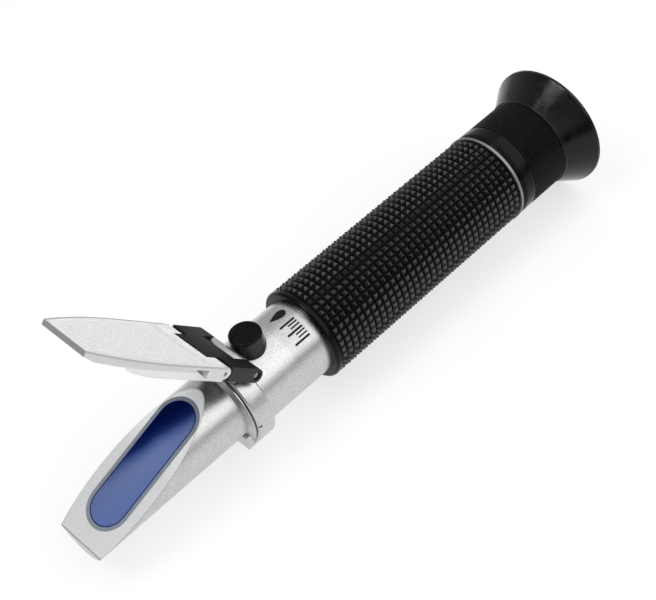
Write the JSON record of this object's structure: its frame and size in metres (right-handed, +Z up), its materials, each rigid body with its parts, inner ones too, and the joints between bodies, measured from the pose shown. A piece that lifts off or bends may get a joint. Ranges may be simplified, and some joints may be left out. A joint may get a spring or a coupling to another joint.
{
  "type": "refractometer",
  "caption": "Hand-held refractometer: slanted blue prism under a hinged clear daylight plate, ribbed rubber grip, calibration screw under a cap, and a focusing eyepiece with an eyecup.",
  "frame": {"origin": "on the tube axis, in the middle of the bare stretch of barrel where a clamp holds it", "axes": "+X along the tube towards the eyepiece, +Z up from the prism and the calibration cap, +Y to the side"},
  "size_m": [0.1931, 0.04, 0.0793],
  "materials": {
    "satin_aluminium": "bead-blasted satin",
    "black_anodised": "matt black anodised",
    "steel": "turned",
    "brass": "turned",
    "bimetal": "rolled strip",
    "optical_glass": "polished and coated",
    "blue_prism_glass": "polished",
    "grey_sealant": "smooth",
    "black_plastic": "fine moulded grain",
    "clear_acrylic": "clear, with a frosted underside panel",
    "black_eyepiece": "satin black, knurled",
    "glossy_rubber": "glossy",
    "black_rubber": "satin"
  },
  "bodies": {
    "barrel": {"prism_housing": "satin_aluminium", "measuring_prism": "blue_prism_glass", "prism_sealant": "grey_sealant", "aperture_stop": "black_anodised", "housing_gasket": "black_rubber", "hinge_collar": "satin_aluminium", "collar_set_screw": "steel", "hinge_pin": "steel", "barrel_tube": "satin_aluminium", "calibration_bush": "brass", "carrier_spring": "steel", "objective_cell": "black_anodised", "objective_crown": "optical_glass", "objective_flint": "optical_glass", "objective_ring": "black_anodised", "glare_stop_1": "black_anodised", "glare_stop_2": "black_anodised", "glare_stop_3": "black_anodised", "reticle": "optical_glass", "reticle_ring": "black_anodised", "grip_sleeve": "black_rubber", "grip_end_band": "satin_aluminium", "eyepiece_sleeve": "black_anodised"},
    "link": {"hinge_link": "black_plastic", "plate_pins": "steel"},
    "plate": {"daylight_plate": "clear_acrylic"},
    "eyepiece_carriage": {"eyepiece_cell": "black_anodised", "field_lens": "optical_glass", "lens_spacer": "black_anodised", "eye_lens": "optical_glass", "eye_lens_ring": "black_anodised"},
    "focus_ring": {"focus_ring": "black_eyepiece", "eyecup": "glossy_rubber"},
    "compensator_carriage": {"lens_carrier": "black_anodised", "strip_screws": "steel"},
    "compensator": {"bimetal_strip": "bimetal", "lens_frame": "black_anodised", "compensator_lens": "optical_glass"},
    "calibration_screw": {"calibration_screw": "steel"},
    "screw_cap": {"screw_cap": "black_rubber"}
  },
  "joints": [
    {"name": "link_hinge", "type": "hinge", "parent": "barrel", "child": "link", "pos_m": [-0.0186, 0, 0.015], "axis": [0, 1, 0], "range_deg": [-65.9, 37.6]},
    {"name": "plate_tilt", "type": "hinge", "parent": "link", "child": "plate", "pos_m": [-0.02743, 0, 0.02427], "axis": [0, 1, 0], "range_deg": [0, 8]},
    {"name": "focus_travel", "type": "slide", "parent": "barrel", "child": "eyepiece_carriage", "axis": [1, 0, 0], "range_m": [0, 0.003]},
    {"name": "focus_turn", "type": "hinge", "parent": "eyepiece_carriage", "child": "focus_ring", "pos_m": [0.095, 0, 0], "axis": [1, 0, 0], "range_deg": [0, 300]},
    {"name": "calibration_travel", "type": "slide", "parent": "barrel", "child": "compensator_carriage", "axis": [0, 0, 1], "range_m": [-0.00035, 0.00035], "deforming": ["carrier_spring"]},
    {"name": "calibration_turn", "type": "hinge", "parent": "compensator_carriage", "child": "calibration_screw", "pos_m": [-0.0114, 0, 0.012], "axis": [0, 0, 1], "range_deg": [-252, 252]},
    {"name": "cap_pull", "type": "slide", "parent": "barrel", "child": "screw_cap", "axis": [0, 0, 1], "range_m": [0, 0.013]},
    {"name": "compensator_flex", "type": "hinge", "parent": "compensator_carriage", "child": "compensator", "pos_m": [-0.0094, 0, -0.0062], "axis": [0, 1, 0], "range_deg": [-1, 1], "stiffness_Nm_per_rad": 0.154}
  ],
  "couplings": [
    {"joint": "focus_travel", "follows": "focus_turn", "m_per_rad": 0.000572},
    {"joint": "calibration_turn", "follows": "calibration_travel", "rad_per_m": 12560}
  ]
}
